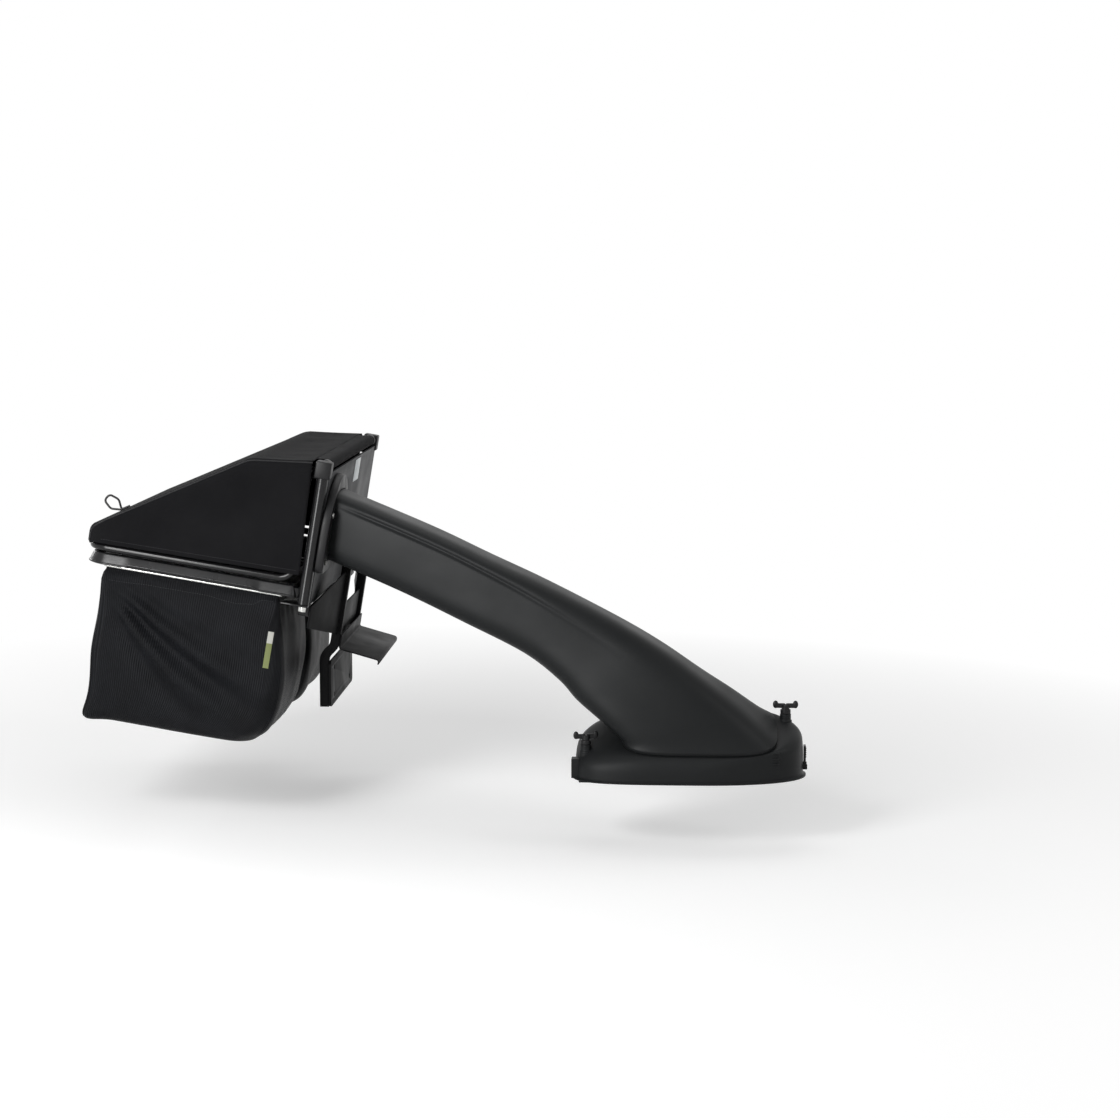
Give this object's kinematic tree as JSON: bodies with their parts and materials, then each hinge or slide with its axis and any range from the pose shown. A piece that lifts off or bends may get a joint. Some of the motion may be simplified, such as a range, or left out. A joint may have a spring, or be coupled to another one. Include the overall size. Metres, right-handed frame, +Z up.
{
  "type": "mower bagger",
  "caption": "Twin fabric grass bagger: tilted steel frame, hinged hood, open-topped bags and a moulded chute down to a mower deck adapter.",
  "frame": {"origin": "centre of the hitch plate's front face, where the bagger meets the mower's rear", "axes": "+X towards the mower's front, square out of the hitch face; +Y to the mower's left; +Z up"},
  "size_m": [1.5117, 0.9516, 0.654],
  "materials": {
    "frame_paint": "gloss black paint",
    "zinc_steel": "bright zinc plate",
    "rim_plastic": "gloss black moulding",
    "chute_plastic": "blow-moulded, fine grain",
    "fitting_plastic": "moulded black nylon",
    "panel_plastic": "dark grey, satin",
    "label_film": "blank pale label film",
    "hood_fabric": "coated woven fabric",
    "bag_mesh": "fine ribbed mesh fabric",
    "bumper_rubber": "matt black rubber"
  },
  "bodies": {
    "frame": {"post_foot_right": "frame_paint", "post_foot_left": "frame_paint", "post_right": "frame_paint", "post_left": "frame_paint", "post_bolt_right": "zinc_steel", "post_bolt_left": "zinc_steel", "corner_cap_right": "fitting_plastic", "corner_cap_left": "fitting_plastic", "header_tube": "frame_paint", "support_ring_right": "frame_paint", "support_ring_left": "frame_paint", "rail_stub_right": "frame_paint", "rail_stub_left": "frame_paint", "ring_tie_rear": "frame_paint", "ring_tie_front": "frame_paint", "bag_rim_right": "rim_plastic", "bag_rim_left": "rim_plastic", "bag_hoop_right": "zinc_steel", "bag_hoop_left": "zinc_steel", "bag_right": "bag_mesh", "bag_left": "bag_mesh", "hood_bumper_right": "bumper_rubber", "hood_bumper_left": "bumper_rubber", "chute": "chute_plastic", "front_panel": "panel_plastic", "panel_label": "label_film", "chute_collar": "fitting_plastic", "collar_screw_1": "zinc_steel", "collar_screw_2": "zinc_steel", "collar_screw_3": "zinc_steel", "collar_screw_4": "zinc_steel", "front_beam": "frame_paint", "upright_right": "frame_paint", "upright_left": "frame_paint", "side_gusset_right": "frame_paint", "side_gusset_left": "frame_paint", "hitch_web": "frame_paint", "hitch_plate": "frame_paint", "hitch_shelf": "frame_paint", "deck_adapter": "chute_plastic", "rear_clamp": "fitting_plastic"},
    "hood": {"hood_frame": "frame_paint", "hood_bow": "frame_paint", "hinge_clip_right": "fitting_plastic", "hinge_clip_left": "fitting_plastic", "hood_cover": "hood_fabric", "pull_loop": "fitting_plastic"},
    "knob_front": {"wing_knob_front": "fitting_plastic"},
    "knob_rear": {"wing_knob_rear": "fitting_plastic"},
    "latch": {"front_latch": "fitting_plastic"}
  },
  "joints": [
    {"name": "hood_hinge", "type": "hinge", "parent": "frame", "child": "hood", "pos_m": [0.02186, 0, 0.49202], "axis": [0, 1, 0], "range_deg": [0, 75]},
    {"name": "knob_front_turn", "type": "hinge", "parent": "frame", "child": "knob_front", "pos_m": [0.976, -0.395, -0.0137], "axis": [0, 0, 1], "continuous": true},
    {"name": "knob_rear_turn", "type": "hinge", "parent": "frame", "child": "knob_rear", "pos_m": [0.5665, -0.478, -0.0657], "axis": [0, 0, 1], "continuous": true},
    {"name": "latch_swing", "type": "hinge", "parent": "frame", "child": "latch", "pos_m": [1.0153, -0.42, -0.118], "axis": [0, 1, 0], "range_deg": [0, 80]}
  ]
}
